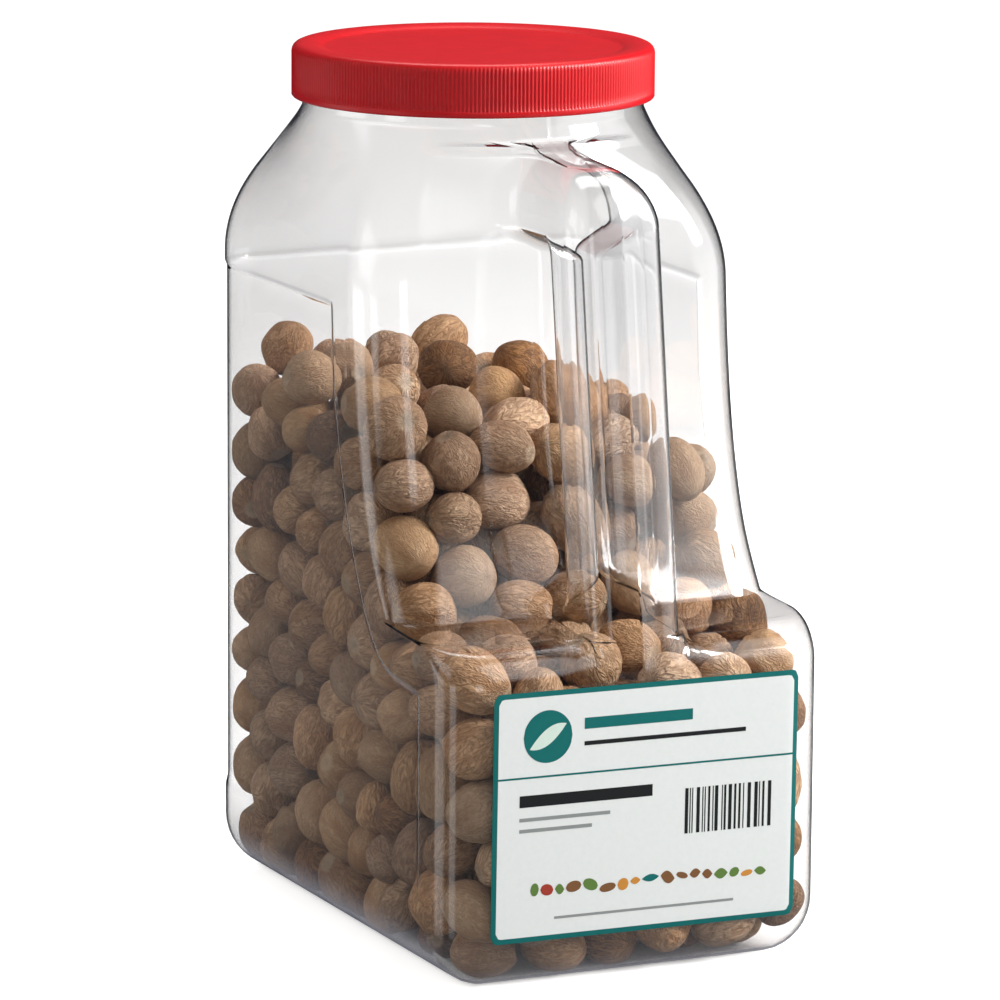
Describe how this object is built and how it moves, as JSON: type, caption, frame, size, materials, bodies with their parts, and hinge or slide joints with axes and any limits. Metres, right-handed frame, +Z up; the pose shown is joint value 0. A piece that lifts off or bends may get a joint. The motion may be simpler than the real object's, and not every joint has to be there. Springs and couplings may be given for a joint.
{
  "type": "clear grip jar of whole nutmegs",
  "caption": "Clear plastic jar with a moulded front handle column, a ribbed red screw lid and a plain front label, filled with whole nutmegs.",
  "frame": {"origin": "middle of the jar's base, on the surface that it stands on", "axes": "+Z up, -Y out of the front face with the label and the handle column, +X to the right seen from the front"},
  "size_m": [0.1264, 0.1867, 0.2694],
  "materials": {
    "jar": "clear blow-moulded PET, glossy",
    "lid": "red moulded polypropylene, satin, finely ribbed skirt",
    "label": "white coated paper with a green border",
    "nutmegs": "dry, dull, wrinkled nut surface"
  },
  "bodies": {
    "root": {"jar": "jar", "lid": "lid", "label": "label", "nutmegs": "nutmegs"}
  },
  "joints": []
}
